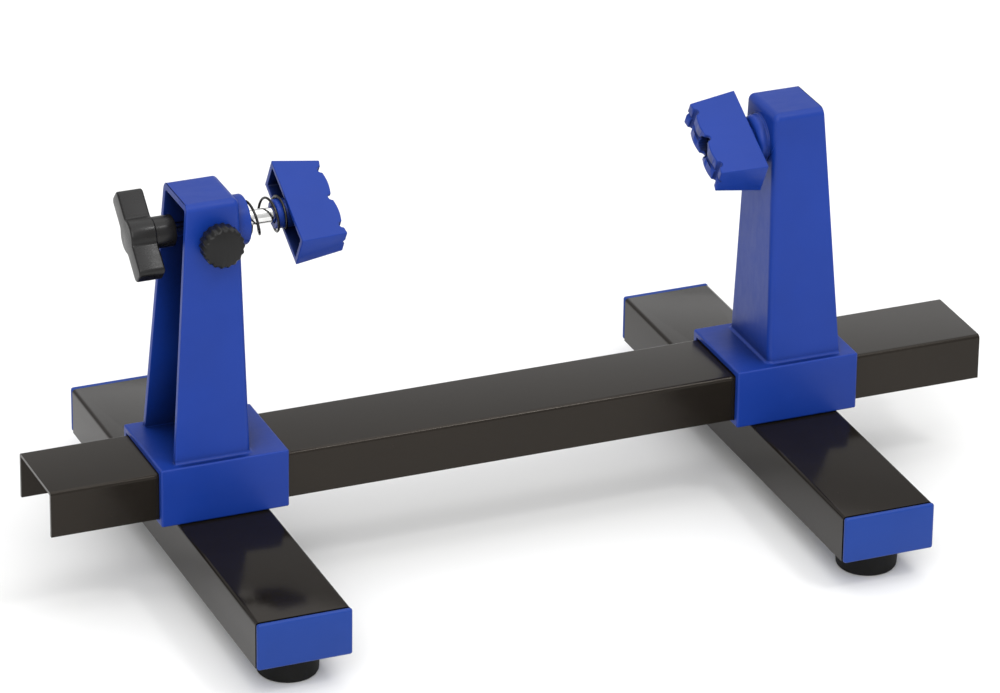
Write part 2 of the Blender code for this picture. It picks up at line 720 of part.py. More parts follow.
def spring(frame):
    """Coil spring between the left collar and the left jaw."""
    curve = bpy.data.curves.new("spring", "CURVE")
    curve.dimensions = "3D"
    curve.bevel_depth = SPRING_WIRE
    curve.bevel_resolution = 2
    curve.use_fill_caps = True
    count = int(SPRING_TURNS * SPRING_STEPS) + 1
    line = curve.splines.new("POLY")
    line.points.add(count - 1)
    length = SPRING_END_X - SPRING_START_X
    for index, point in enumerate(line.points):
        share = index / (count - 1)
        angle = math.tau * SPRING_TURNS * share
        y = -SPRING_RADIUS * math.cos(angle)
        z = -SPRING_RADIUS * math.sin(angle)
        point.co = (length * share, y, z, 1)
    item = bpy.data.objects.new("spring", curve)
    PARTS.objects.link(item)
    curve.materials.append(SPRING_STEEL)
    return hang(item, frame, (SPRING_START_X, 0, AXIS_Z))


def clamp_knob(frame):
    """Fluted clamp knob; its axis is Z here and is laid along Y."""
    back = CLAMP_KNOB_DEPTH
    front_edge = CLAMP_KNOB_FACE_EDGE
    back_edge = CLAMP_KNOB_BACK_EDGE
    rim = CLAMP_KNOB_RADIUS
    profile = [(0, back), (rim - back_edge, back), (rim, back - back_edge), (rim, front_edge)]
    profile += [(rim - front_edge, 0), (0, 0)]
    item = turned("clamp_knob", profile, BLACK_PLASTIC, 72)
    for index in range(FLUTES):
        angle = math.tau * index / FLUTES
        x = (rim + FLUTE_OFFSET) * math.cos(angle)
        y = (rim + FLUTE_OFFSET) * math.sin(angle)
        cut(item, cylinder_mesh("flute", FLUTE_RADIUS, (x, y, -MM), (x, y, back + MM), 8))
    bore = CLAMP_SCREW_RADIUS + GAP
    cut(item, cylinder_mesh("stud_hole", bore, (0, 0, CLAMP_KNOB_BLIND), (0, 0, 2 * back), HOLE_STEPS))
    return hang(item, frame, (LEFT_X, CLAMP_KNOB_FRONT, AXIS_Z), (-math.radians(90), 0, 0))


def clamp_screw(frame):
    """Stud of the clamp knob, reaching to the spindle."""
    length = -SHAFT_RADIUS - GAP - CLAMP_SCREW_START
    rim = CLAMP_SCREW_RADIUS
    tip = rim - SCREW_CHAMFER
    profile = [(0, length), (tip, length), (rim, length - SCREW_CHAMFER)]
    profile += [(rim, SCREW_CHAMFER), (tip, 0), (0, 0)]
    item = turned("clamp_screw", profile, ZINC, HOLE_STEPS)
    return hang(item, frame, (LEFT_X, CLAMP_SCREW_START, AXIS_Z), (-math.radians(90), 0, 0))


def clamp_insert(frame):
    """Brass threaded insert in the front wall of the left post."""
    length = INSERT_END_Y - INSERT_START_Y
    bore = CLAMP_SCREW_RADIUS + GAP
    item = solid("clamp_insert", cylinder_mesh("insert", INSERT_RADIUS, (0, 0, 0), (0, length, 0)), BRASS)
    cut(item, cylinder_mesh("hole", bore, (0, -MM, 0), (0, 2 * length, 0), HOLE_STEPS))
    shade_round(item)
    return hang(item, frame, (LEFT_X, INSERT_START_Y, AXIS_Z))


def build():
    """Put the whole holder together."""
    rail = steel_channel("rail", RAIL_LENGTH, RAIL_WIDTH, RAIL_HEIGHT, "X")
    rail.location = (0, 0, RAIL_BOTTOM + RAIL_HEIGHT)
    left = empty("left_stand", (LEFT_X, 0, 0))
    right = empty("right_stand", (RIGHT_X, 0, 0))
    slide = empty("spindle_slide", (LEFT_X, 0, AXIS_Z), left)
    spindle = empty("spindle", (LEFT_X, 0, AXIS_Z), slide)
    clamp = empty("clamp_travel", (LEFT_X, 0, AXIS_Z), left)
    clamp_turn = empty("clamp_turn", (LEFT_X, 0, AXIS_Z), clamp)
    right_turn = empty("right_jaw_turn", (RIGHT_X, 0, AXIS_Z), right)
    left_moulding(left)
    stand_base("left", left, LEFT_X)
    clamp_insert(left)
    right_moulding(right)
    stand_base("right", right, RIGHT_X)
    right_pivot(right)
    spring(slide)
    spindle_shaft(spindle)
    wing_knob(spindle)
    left_jaw(spindle)
    clamp_screw(clamp)
    clamp_knob(clamp_turn)
    right_jaw(right_turn)


build()
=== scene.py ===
"""Looks of the circuit board holder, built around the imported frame."""
import json
import math

import bmesh
import bpy
from mathutils import Matrix, Vector


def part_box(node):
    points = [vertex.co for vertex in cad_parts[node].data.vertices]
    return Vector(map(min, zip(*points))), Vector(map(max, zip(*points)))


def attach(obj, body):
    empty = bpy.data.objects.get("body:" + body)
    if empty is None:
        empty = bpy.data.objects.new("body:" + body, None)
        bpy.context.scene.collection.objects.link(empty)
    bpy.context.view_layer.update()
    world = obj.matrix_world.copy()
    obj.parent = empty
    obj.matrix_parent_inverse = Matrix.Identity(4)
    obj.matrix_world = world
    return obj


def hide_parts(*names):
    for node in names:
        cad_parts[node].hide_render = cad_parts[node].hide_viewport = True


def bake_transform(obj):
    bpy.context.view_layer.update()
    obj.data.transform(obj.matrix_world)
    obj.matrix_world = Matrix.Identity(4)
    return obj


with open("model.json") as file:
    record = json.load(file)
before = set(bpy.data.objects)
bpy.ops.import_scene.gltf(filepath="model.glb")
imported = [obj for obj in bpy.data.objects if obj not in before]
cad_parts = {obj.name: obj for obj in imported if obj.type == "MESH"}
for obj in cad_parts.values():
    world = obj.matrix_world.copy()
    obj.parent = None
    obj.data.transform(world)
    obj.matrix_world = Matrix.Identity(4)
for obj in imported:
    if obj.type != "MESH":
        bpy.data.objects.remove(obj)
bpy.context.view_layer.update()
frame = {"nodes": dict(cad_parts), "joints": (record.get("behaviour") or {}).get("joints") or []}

MM = 0.001
GAP = 0.3 * MM

# Steps of round shapes.
ROUND_STEPS = 64
FINE_STEPS = 96
HOLE_STEPS = 32
PEG_HOLE_STEPS = 48
LARGE_ARC = 8
MIDDLE_ARC = 5
SMALL_ARC = 4
SMOOTH_ANGLE = 35
SOFT_ANGLE = 40
SOFT_SEGMENTS = 2

# Cuts: how far a cutter goes past the surface that it opens.
CUT_REACH = 30 * MM
CUT_PAST = 5 * MM
SCREW_HOLE = 1.8 * MM
STUD_HOLE = 2.3 * MM

# Folded sheet of the rail and the foot bars.
SHEET = 1.0 * MM
BEND_RADIUS = 1.2 * MM
SHEET_NICK = 0.12 * MM
TOP_FACE = -0.1 * MM

# Uprights, with their sizes just above the sleeve and at the top.
POST_WALL = 2.0 * MM
POST_OUTER = (14.5 * MM, 8.6 * MM)
POST_INNER = (8.8 * MM, 7.4 * MM)
POST_DEPTH = (14.1 * MM, 9.9 * MM)
POST_CORNER = 1.8 * MM
POST_TOP_CORNER = 0.25 * MM
POST_OPEN_CORNER = 0.35 * MM
POST_TOP_ROUND = 2.2 * MM
POST_FLARE = 0.9 * MM
POST_ROOT = 0.6 * MM
POST_STATIONS = (0.25, 0.5, 0.75)
HOLLOW_CORNER = 1.0 * MM
HOLLOW_TAPER = 0.7 * MM
HOLLOW_ROUND = 0.8 * MM
HOLLOW_MOUTH = 0.3 * MM
SLEEVE_HEIGHT = 18.25 * MM
SLEEVE_EDGE = 0.6 * MM
TUNNEL_EDGE = 0.5 * MM
MOULDING_EDGE = 0.25 * MM

# Collars, bearing and bosses on the uprights.
COLLAR_RADIUS = 7.4 * MM
COLLAR_FILLET = 0.5 * MM
COLLAR_SINK = 1.0 * MM
COLLAR_LIFT = 0.1 * MM
LEFT_COLLAR_REACH = 12.0 * MM
RIGHT_COLLAR_REACH = 10.6 * MM
LEFT_COLLAR_RIM = 0.6 * MM
RIGHT_COLLAR_RIM = 1.6 * MM
BOSS_RADIUS = 5.5 * MM
BOSS_REACH = 3.0 * MM
BOSS_ROOT = 6 * MM
SIDE_BOSS_RADIUS = 5.0 * MM
SIDE_BOSS_REACH = 9.0 * MM
SHAFT_RADIUS = 2.25 * MM

# Screw pillars inside the sleeves.
PILLAR_RADIUS = 3.6 * MM
PILLAR_PLACE = 7.0 * MM
PILLAR_HEIGHT = 11.7 * MM
PILLAR_LIFT = 0.5 * MM
PILOT_CEILING = 2 * MM

# End caps and rubber feet.
CAP_PLATE = 1.7 * MM
CAP_EDGE = 0.8 * MM
PLUG_HALF = 13.0 * MM
PLUG_LIFT = 0.05 * MM
PLUG_DROP = 1.5 * MM
PLUG_EDGE = 0.4 * MM
CAP_SHARP_ANGLE = 30
PEG_HOLE = 3.3 * MM
FOOT_TOP = 9.2 * MM
FOOT_FLAT = 1.9 * MM
FOOT_ROUND = 1.4 * MM
# Millimetres: (radius, height), and (in from the rim, below the top of the foot).
FOOT_UNDERSIDE = ((5.2, 0.35), (5.5, 0.1), (6.0, 0.0))
FOOT_RIB = ((0.1, 1.6), (0.0, 1.2), (0.0, 0.4), (0.12, 0.12), (0.4, 0.0))
PEG_RADIUS = 3.0 * MM
PEG_TIP_RADIUS = 2.4 * MM
PEG_LEAD_IN = 0.8 * MM

# Jaws, with their sizes at the gripping face and at the open back.
JAW_DEPTH = 14.6 * MM
JAW_LENGTH = (26.6 * MM, 29.5 * MM)
JAW_THICK = (8.5 * MM, 11.3 * MM)
JAW_SHOULDER = 0.1 * MM
JAW_WALL = 1.6 * MM
JAW_FLOOR = 5.5 * MM
JAW_EDGE = 0.3 * MM
JAW_HOLLOW_EDGE = 0.5 * MM
JAW_BORE_FLOOR = 6.6 * MM
JAW_BOSS_RADIUS = 4.3 * MM
JAW_BOSS_REACH = 3.3 * MM
JAW_BOSS_RIM = 0.35 * MM
JAW_BOSS_CHAMFER = 0.3
LEFT_JAW_TILT = math.radians(29.6)
RIGHT_JAW_TILT = math.radians(28.2)
NOTCH_PITCH = 10.0 * MM
NOTCH_HALF = 1.1 * MM
NOTCH_DEPTH = 1.7 * MM
NOTCH_STEPS = 12
SCALLOP_RISE = 0.5 * MM
SCALLOP_STEPS = 16
GROOVE_HALF = 1.0 * MM
HEAD_RECESS = 3.2 * MM
HEAD_SEAT = 4.8 * MM

# Wing knob.
WING_TILT = math.radians(41.9)
WING_SPAN = 27.0 * MM
WING_HALF_THICK = 3.1 * MM
WING_DEPTH = 7.8 * MM
WING_SETBACK = 0.2 * MM
WING_EDGE = 0.6 * MM
WING_TIP_RADIUS = 1.7 * MM
WING_FILLET = 1.6 * MM
WING_SHARP_ANGLE = 32
BULGE_RADIUS = 5.2 * MM
BULGE_STEPS = 12
HUB_RADIUS = 4.65 * MM
HUB_RIM = 0.5 * MM

# Clamp knob; millimetres in from the front or the back end, inset, and strength of the flutes.
FLUTES = 18
FLUTE_STEPS = 14
FLUTE_DEPTH = 0.38 * MM
KNOB_FRONT = ((0.0, 0.95, 0.3), (0.1, 0.7, 0.5), (0.3, 0.3, 0.85), (0.6, 0.0, 1.0))
KNOB_BACK = ((1.5, 0.0, 1.0), (1.1, 0.3, 0.8), (0.8, 0.9, 0.2), (0.7, 1.6, 0.0), (0.0, 1.7, 0.0))
KNOB_SHARP_ANGLE = 45
STUD_FLOOR = 2.2 * MM

# Spring: turns from the collar (0 is the front of the coil, then down and round), share of the length.
SPRING_RADIUS = 5.05 * MM
SPRING_WIRE = 0.38 * MM
SPRING_STEPS = 48
SPRING_PATH = (
    (0.0, 0.0), (0.25, 0.004), (0.5, 0.012), (0.75, 0.05), (1.0, 0.175), (1.25, 0.37), (1.5, 0.53),
    (1.75, 0.63), (2.0, 0.745), (2.25, 0.83), (2.5, 0.885), (2.75, 0.925), (3.0, 0.97), (3.1, 1.0),
)

# Camera and lights: (name, place, size, power).
CAMERA_PLACE = (-0.62824, -1.50255, 0.83455)
CAMERA_AZIMUTH = math.radians(-22.58)
CAMERA_ELEVATION = math.radians(25.57)
CAMERA_ROLL = math.radians(0.74)
CAMERA_LENS = 220.8
CAMERA_SENSOR = 36
CAMERA_CLIP_START = 0.05
LIGHTS = (
    ("key", (-0.7, -1.5, 1.4), 1.6, 26.0),
    ("top", (0.2, 0.2, 1.7), 1.8, 12.0),
    ("edge", (0.5, -0.65, 1.3), 0.22, 3.0),
)
LIGHT_TARGET = (0, 0, 0.06)
ROOM_STRENGTH = 0.75
FLOOR_SIZE = 30
FLOOR_TONES = ((0.86, 0.86, 0.855), (0.88, 0.88, 0.875))


# ---------------------------------------------------------------- frame places
def centre_x(node):
    """Middle of a CAD node along X."""
    low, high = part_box(node)
    return (low[0] + high[0]) / 2


def joint(name):
    """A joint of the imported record."""
    return next(item for item in frame["joints"] if item["name"] == name)


LEFT_X = centre_x("left_post")
RIGHT_X = centre_x("right_post")
AXIS_Z = joint("spindle_turn")["pos_m"][2]
SLEEVE_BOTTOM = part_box("left_post")[0][2]
SLEEVE_TOP = SLEEVE_BOTTOM + SLEEVE_HEIGHT
POST_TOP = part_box("left_post")[1][2]


# ---------------------------------------------------------------- mesh helpers
def quarter_turn(steps, first=0):
    """Cosine and sine at even steps from 0 to 90 degrees."""
    for step in range(first, steps + 1):
        angle = math.radians(90 * step / steps)
        yield math.cos(angle), math.sin(angle)


def smooth(mesh, angle=SMOOTH_ANGLE):
    """Shade a mesh smooth, with edges above an angle left sharp."""
    mesh.shade_smooth()
    mesh.set_sharp_from_angle(angle=math.radians(angle))


def to_object(name, shape):
    """Turn a bmesh into a linked object, smooth where the surface is round."""
    bmesh.ops.recalc_face_normals(shape, faces=shape.faces)
    mesh = bpy.data.meshes.new(name)
    shape.to_mesh(mesh)
    shape.free()
    item = bpy.data.objects.new(name, mesh)
    bpy.context.scene.collection.objects.link(item)
    smooth(mesh)
    return item


def loft(name, rings):
    """Closed skin through rings of equal length, with flat ends."""
    shape = bmesh.new()
    rows = [[shape.verts.new(point) for point in ring] for ring in rings]
    for lower, upper in zip(rows, rows[1:]):
        count = len(lower)
        for index in range(count):
            after = (index + 1) % count
            shape.faces.new((lower[index], lower[after], upper[after], upper[index]))
    shape.faces.new(list(reversed(rows[0])))
    shape.faces.new(rows[-1])
    return to_object(name, shape)


def box(name, low, high, edge=0.0, segments=3):
    """Box with rounded edges."""
    shape = bmesh.new()
    bmesh.ops.create_cube(shape, size=1.0)
    size = Vector(high) - Vector(low)
    bmesh.ops.scale(shape, verts=shape.verts, vec=size)
    bmesh.ops.translate(shape, verts=shape.verts, vec=(Vector(low) + Vector(high)) / 2)
    if edge:
        round_edges(shape, edge, segments)
    return to_object(name, shape)


def round_edges(shape, edge, segments):
    """Round every edge of a bmesh."""
    bmesh.ops.bevel(
        shape, geom=shape.edges[:], offset=edge, segments=segments, profile=0.5, affect="EDGES"
    )


def lathe(name, profile, start, direction, steps=FINE_STEPS):
    """Turned solid; profile is (radius, distance) from start along direction."""
    start = Vector(start)
    axis = Vector(direction).normalized()
    side = axis.orthogonal().normalized()
    other = axis.cross(side)
    rings = []
    for radius, distance in profile:
        ring = []
        for step in range(steps):
            angle = math.tau * step / steps
            spoke = side * math.cos(angle) + other * math.sin(angle)
            ring.append(start + axis * distance + spoke * radius)
        rings.append(ring)
    return loft(name, rings)


def rod(name, radius, start, end, steps=ROUND_STEPS):
    """Plain cylinder between two points, used for bores and pillars."""
    run = Vector(end) - Vector(start)
    return lathe(name, [(radius, 0), (radius, run.length)], start, run, steps)


def bake(item):
    """Replace a piece's mesh by what its modifiers make of it."""
    graph = bpy.context.evaluated_depsgraph_get()
    mesh = bpy.data.meshes.new_from_object(item.evaluated_get(graph))
    item.modifiers.clear()
    item.data = mesh


def combine(target, operation, other):
    """Exact Boolean with another shape, which is then dropped."""
    step = target.modifiers.new("shape", "BOOLEAN")
    step.operation = operation
    step.solver = "EXACT"
    step.object = other
    bake(target)
    bpy.data.objects.remove(other, do_unlink=True)


def join(target, other):
    """Fuse another shape into a piece."""
    combine(target, "UNION", other)


def cut(target, other):
    """Take another shape out of a piece."""
    combine(target, "DIFFERENCE", other)


def soften(item, width):
    """Round what sharp edges are left and keep flat faces flat in shading."""
    shape = bmesh.new()
    shape.from_mesh(item.data)
    bmesh.ops.remove_doubles(shape, verts=shape.verts, dist=0.02 * MM)
    bmesh.ops.dissolve_limit(shape, angle_limit=math.radians(0.5), verts=shape.verts, edges=shape.edges)
    shape.to_mesh(item.data)
    shape.free()
    step = item.modifiers.new("edge", "BEVEL")
    step.width = width
    step.segments = SOFT_SEGMENTS
    step.limit_method = "ANGLE"
    step.angle_limit = math.radians(SOFT_ANGLE)
    step.use_clamp_overlap = False
    bake(item)
    smooth(item.data, SOFT_ANGLE)
    weight = item.modifiers.new("flat_faces", "WEIGHTED_NORMAL")
    weight.keep_sharp = True
    bake(item)


def finish_piece(item, look, body, node):
    """Give a piece its material and its body, and hide the CAD node that it stands for."""
    item.data.materials.clear()
    item.data.materials.append(look)
    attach(item, body)
    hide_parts(node)


# ------------------------------------------------------------------- materials
def shade(colour, factor):
    """A colour made lighter or darker."""
    return tuple(channel * factor for channel in colour)


class Nodes:
    """Small helper that adds and links shader nodes."""

    def __init__(self, name):
        self.material = bpy.data.materials.new(name)
        self.material.use_nodes = True
        self.tree = self.material.node_tree
        self.shader = self.tree.nodes["Principled BSDF"]
        self.place = self.add("ShaderNodeTexCoord").outputs["Object"]

    def add(self, kind, **settings):
        node = self.tree.nodes.new(kind)
        for key, value in settings.items():
            setattr(node, key, value)
        return node

    def link(self, output, entry):
        self.tree.links.new(output, entry)

    def noise(self, scale, detail=3.0, stretch=None, rough=0.55):
        """Noise in object space; scale is in features per metre."""
        source = self.place
        if stretch:
            mapping = self.add("ShaderNodeMapping")
            mapping.inputs["Scale"].default_value = stretch
            self.link(source, mapping.inputs["Vector"])
            source = mapping.outputs["Vector"]
        node = self.add("ShaderNodeTexNoise")
        node.inputs["Scale"].default_value = scale
        node.inputs["Detail"].default_value = detail
        node.inputs["Roughness"].default_value = rough
        self.link(source, node.inputs["Vector"])
        return node.outputs["Fac"]

    def remap(self, value, low, high, start=0.3, end=0.7):
        """Spread a value between start and end over low to high."""
        node = self.add("ShaderNodeMapRange")
        node.inputs["From Min"].default_value = start
        node.inputs["From Max"].default_value = end
        node.inputs["To Min"].default_value = low
        node.inputs["To Max"].default_value = high
        self.link(value, node.inputs["Value"])
        return node.outputs["Result"]

    def mix(self, factor, first, second):
        """Blend two colours by a value."""
        node = self.add("ShaderNodeMix", data_type="RGBA")
        self.link(factor, node.inputs["Factor"])
        for entry, colour in ((node.inputs["A"], first), (node.inputs["B"], second)):
            if isinstance(colour, tuple):
                entry.default_value = (*colour, 1.0)
            else:
                self.link(colour, entry)
        return node.outputs["Result"]

    def tone(self, value, colour, darker, lighter):
        """A colour that drifts between a darker and a lighter one."""
        return self.mix(self.remap(value, 0.0, 1.0), shade(colour, darker), shade(colour, lighter))

    def painted_hollow_shade(self, reach):
        """Painted shade by ambient occlusion: 1 on a free face, falling towards 0 deep inside a hollow."""
        node = self.add("ShaderNodeAmbientOcclusion", samples=6, only_local=True)
        node.inputs["Distance"].default_value = reach
        return node.outputs["AO"]

    def colour(self, output):
        self.link(output, self.shader.inputs["Base Color"])

    def roughness(self, output):
        self.link(output, self.shader.inputs["Roughness"])

    def bump(self, *layers):
        """Stack bump layers given as (height, distance)."""
        normal = None
        for height, distance in layers:
            node = self.add("ShaderNodeBump")
            node.inputs["Distance"].default_value = distance
            self.link(height, node.inputs["Height"])
            if normal is not None:
                self.link(normal, node.inputs["Normal"])
            normal = node.outputs["Normal"]
        self.link(normal, self.shader.inputs["Normal"])


def plastic(name, colour, roughness, gloss, grain=5200.0, depth=0.01 * MM):
    """Moulded plastic: spark texture, flow shading, rub marks, and painted shade that darkens it deep in a
    hollow.
    """
    nodes = Nodes(name)
    flow = nodes.noise(38.0, detail=4.0)
    rubs = nodes.noise(150.0, detail=6.0, stretch=(1.0, 2.4, 1.0), rough=0.7)
    base = nodes.tone(flow, colour, darker=0.93, lighter=1.06)
    worn = nodes.remap(rubs, 0.0, 0.22, start=0.6, end=0.78)
    rubbed = nodes.mix(worn, base, shade(colour, 1.35))
    # Painted shade: the colour falls towards 0.12 of itself deep inside hollows and where parts meet.
    painted_shade_mask = nodes.remap(nodes.painted_hollow_shade(24 * MM), 0.0, 1.0, start=0.42, end=0.82)
    nodes.colour(nodes.mix(painted_shade_mask, shade(colour, 0.12), rubbed))
    nodes.roughness(nodes.remap(rubs, roughness - 0.05, roughness + 0.07))
    nodes.shader.inputs["Specular IOR Level"].default_value = gloss
    spark = nodes.noise(grain, detail=2.0)
    sink = nodes.noise(70.0, detail=2.0)
    nodes.bump((sink, 0.12 * MM), (spark, depth))
    return nodes.material


def painted_steel(name, colour, roughness, gloss, stretch):
    """Black stoved paint on rolled sheet: orange peel, faint draw lines and dust."""
    nodes = Nodes(name)
    lines = nodes.noise(1400.0, stretch=stretch)
    haze = nodes.noise(26.0, detail=5.0)
    specks = nodes.noise(900.0, detail=2.0)
    base = nodes.tone(haze, colour, darker=0.85, lighter=1.2)
    dust = nodes.remap(specks, 0.0, 0.5, start=0.74, end=0.8)
    nodes.colour(nodes.mix(dust, base, shade(colour, 4.0)))
    nodes.roughness(nodes.remap(haze, roughness - 0.03, roughness + 0.05))
    nodes.shader.inputs["Specular IOR Level"].default_value = gloss
    nodes.shader.inputs["Specular Tint"].default_value = (1.0, 0.9, 0.8, 1.0)
    peel = nodes.noise(420.0, detail=2.0)
    nodes.bump((peel, 0.01 * MM), (lines, 0.002 * MM))
    return nodes.material


def metal(name, colour, roughness):
    """Bare or plated metal with fine machining marks."""
    nodes = Nodes(name)
    stain = nodes.noise(220.0, detail=4.0)
    turned = nodes.noise(2600.0, detail=2.0, stretch=(1.0, 0.2, 0.2))
    nodes.colour(nodes.tone(stain, colour, darker=0.9, lighter=1.05))
    nodes.roughness(nodes.remap(turned, roughness * 0.8, roughness * 1.3))
    nodes.shader.inputs["Metallic"].default_value = 1.0
    nodes.bump((turned, 0.004 * MM))
    return nodes.material


def matt_rubber(name, colour):
    """Matt rubber with a dusty bloom."""
    nodes = Nodes(name)
    bloom = nodes.noise(160.0, detail=6.0)
    nodes.colour(nodes.tone(bloom, colour, darker=0.8, lighter=1.7))
    nodes.roughness(nodes.remap(bloom, 0.62, 0.82))
    nodes.shader.inputs["Specular IOR Level"].default_value = 0.15
    nodes.bump((nodes.noise(3200.0), 0.03 * MM))
    return nodes.material


def pale_floor():
    """Matt studio floor."""
    nodes = Nodes("pale_floor")
    nodes.colour(nodes.mix(nodes.remap(nodes.noise(3.0), 0.0, 1.0), *FLOOR_TONES))
    nodes.shader.inputs["Roughness"].default_value = 0.8
    nodes.shader.inputs["Specular IOR Level"].default_value = 0.2
    return nodes.material


BLUE = plastic("blue_plastic", (0.0050, 0.0330, 0.2500), 0.40, 0.24)
CAP_BLUE = plastic("cap_blue_plastic", (0.0060, 0.0380, 0.2350), 0.38, 0.24)
RAIL_PAINT = painted_steel("rail_black_paint", (0.0085, 0.0068, 0.0052), 0.22, 0.30, (0.05, 1.0, 1.0))
FOOT_PAINT = painted_steel("foot_black_paint", (0.0085, 0.0070, 0.0058), 0.14, 0.20, (1.0, 0.05, 1.0))
KNOB_BLACK = plastic("knob_black_plastic", (0.0070, 0.0066, 0.0066), 0.27, 0.30, 3600.0)
CLAMP_BLACK = plastic("clamp_black_plastic", (0.0062, 0.0060, 0.0060), 0.34, 0.24, 3600.0, 0.012 * MM)
RUBBER = matt_rubber("foot_rubber", (0.0060, 0.0058, 0.0054))
CHROME = metal("bright_plating", (0.78, 0.78, 0.77), 0.10)
SPRING_STEEL = metal("dark_spring_wire", (0.045, 0.044, 0.043), 0.28)
ZINC = metal("zinc_plating", (0.62, 0.63, 0.62), 0.27)
BRASS = metal("brass", (0.72, 0.50, 0.22), 0.25)


# ------------------------------------------------------------------- channels
def channel_section(width, height):
    """Outline of a folded channel, open below, as (across, up) with its top at 0."""
    half = width / 2
    inner = half - SHEET
    small = BEND_RADIUS - SHEET
    right_out = [(half, -height)]
    for across, up in quarter_turn(LARGE_ARC):
        right_out.append((half - BEND_RADIUS + BEND_RADIUS * across, BEND_RADIUS * (up - 1)))
    right_in = [(inner, -height)]
    for across, up in quarter_turn(SMALL_ARC):
        right_in.append((inner - small + small * across, -SHEET - small + small * up))
    left_out = [(-across, up) for across, up in reversed(right_out)]
    left_in = [(-across, up) for across, up in reversed(right_in)]
    return right_out + left_out + list(reversed(left_in)) + list(reversed(right_in))


def channel(name, node, run):
    """Channel over a CAD node's whole length, which is along axis 0 or 1."""
    low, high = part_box(node)
    width = high[1 - run] - low[1 - run]
    middle = (low[1 - run] + high[1 - run]) / 2
    section = channel_section(width, high[2] - low[2])
    stations = (
        (low[run], SHEET_NICK),
        (low[run] + SHEET_NICK, 0.0),
        (high[run] - SHEET_NICK, 0.0),
        (high[run], SHEET_NICK),
    )
    rings = []
    for place, inset in stations:
        ring = []
        for across, up in section:
            lowered = inset / 2 if up > TOP_FACE else 0.0
            point = [0.0, 0.0, high[2] + up - lowered]
            point[run] = place
            point[1 - run] = middle + across
            ring.append(point)
        rings.append(ring)
    return loft(name, rings)


def add_channels():
    """The rail and the two foot bars."""
    finish_piece(channel("rail_channel", "rail", 0), RAIL_PAINT, "rail", "rail")
    for side in ("left", "right"):
        node = side + "_foot_bar"
        item = channel(side + "_foot_channel", node, 1)
        x = centre_x(node)
        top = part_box(node)[1][2]
        for y in (-PILLAR_PLACE, PILLAR_PLACE):
            cut(item, rod("hole", SCREW_HOLE, (x, y, top - CUT_PAST), (x, y, top + CUT_PAST), HOLE_STEPS))
        smooth(item.data)
        finish_piece(item, FOOT_PAINT, side + "_stand", node)


# ----------------------------------------------------------------- stand posts
def post_size(height):
    """Outer offset, inner offset and half depth of the upright at a height."""
    share = (height - SLEEVE_TOP) / (POST_TOP - SLEEVE_TOP)
    return tuple(a + (b - a) * share for a, b in (POST_OUTER, POST_INNER, POST_DEPTH))


def post_section(x_low, x_high, half_depth, height, inner_round, outer_round, steps=6):
    """Rounded rectangle with its own corner radii on the jaw side and the open side."""
    corners = (
        (x_high, half_depth, inner_round, 0),
        (x_low, half_depth, outer_round, 90),
        (x_low, -half_depth, outer_round, 180),
        (x_high, -half_depth, inner_round, 270),
    )
    ring = []
    for x, y, radius, start in corners:
        middle_x = x - radius if x == x_high else x + radius
        middle_y = y - radius if y > 0 else y + radius
        for step in range(steps + 1):
            angle = math.radians(start + 90 * step / steps)
            point = (middle_x + radius * math.cos(angle), middle_y + radius * math.sin(angle), height)
            ring.append(point)
    return ring


def upright_skin():
    """Outer form of the upright with its flared root and soft top edge."""
    flare_top = SLEEVE_TOP + POST_FLARE
    round_start = POST_TOP - POST_TOP_ROUND
    stations = [(SLEEVE_TOP - POST_ROOT, POST_FLARE, 0.0)]
    for across, up in quarter_turn(MIDDLE_ARC):
        stations.append((SLEEVE_TOP + POST_FLARE * (1 - across), POST_FLARE * (1 - up), 0.0))
    for share in POST_STATIONS:
        stations.append((flare_top + (round_start - flare_top) * share, 0.0, 0.0))
    for across, up in quarter_turn(LARGE_ARC):
        stations.append((round_start + POST_TOP_ROUND * up, 0.0, POST_TOP_ROUND * (1 - across)))
    rings = []
    for height, flare, inset in stations:
        outer, inner, depth = post_size(height)
        corner = max(POST_CORNER - inset, POST_TOP_CORNER) + flare / 2
        grow = flare - inset
        rings.append(post_section(-outer, inner + grow, depth + grow, height, corner, POST_OPEN_CORNER))
    return loft("upright", rings)


def upright_hollow():
    """Space inside the upright, open on the outer side."""
    roof = POST_TOP - POST_WALL
    stations = [(SLEEVE_TOP, 0.0), ((SLEEVE_TOP + POST_TOP) / 2, 0.0), (roof - HOLLOW_ROUND, 0.0)]
    for across, up in quarter_turn(SMALL_ARC, first=1):
        stations.append((roof - HOLLOW_ROUND * (1 - up), 1 - across))
    rings = []
    for height, closing in stations:
        inner, depth = post_size(height)[1:]
        inset = POST_WALL + HOLLOW_ROUND * closing
        corner = HOLLOW_CORNER - HOLLOW_TAPER * closing
        rings.append(post_section(-CUT_REACH, inner - inset, depth - inset, height, corner, HOLLOW_MOUTH))
    return loft("hollow", rings)


def stand_moulding(name):
    """Sleeve, upright and screw pillars as one piece, jaw side at +X."""
    low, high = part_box("left_post")
    half = (high[0] - low[0]) / 2
    depth = (high[1] - low[1]) / 2
    item = box(name, (-half, -depth, SLEEVE_BOTTOM), (half, depth, SLEEVE_TOP), SLEEVE_EDGE)
    join(item, upright_skin())
    cut(item, upright_hollow())
    rail_low, rail_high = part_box("rail")
    way = (rail_high[1] - rail_low[1]) / 2 + GAP
    floor = rail_low[2] - GAP
    roof = rail_high[2] + GAP
    cut(item, box("tunnel", (-2 * half, -way, floor), (2 * half, way, roof), TUNNEL_EDGE, 2))
    bottom = SLEEVE_BOTTOM + PILLAR_LIFT
    top = SLEEVE_BOTTOM + PILLAR_HEIGHT
    pilot_top = top - PILOT_CEILING
    for y in (-PILLAR_PLACE, PILLAR_PLACE):
        join(item, rod("pillar", PILLAR_RADIUS, (0, y, bottom), (0, y, top)))
        cut(item, rod("pilot", SCREW_HOLE, (0, y, SLEEVE_BOTTOM - MM), (0, y, pilot_top), HOLE_STEPS))
    return item


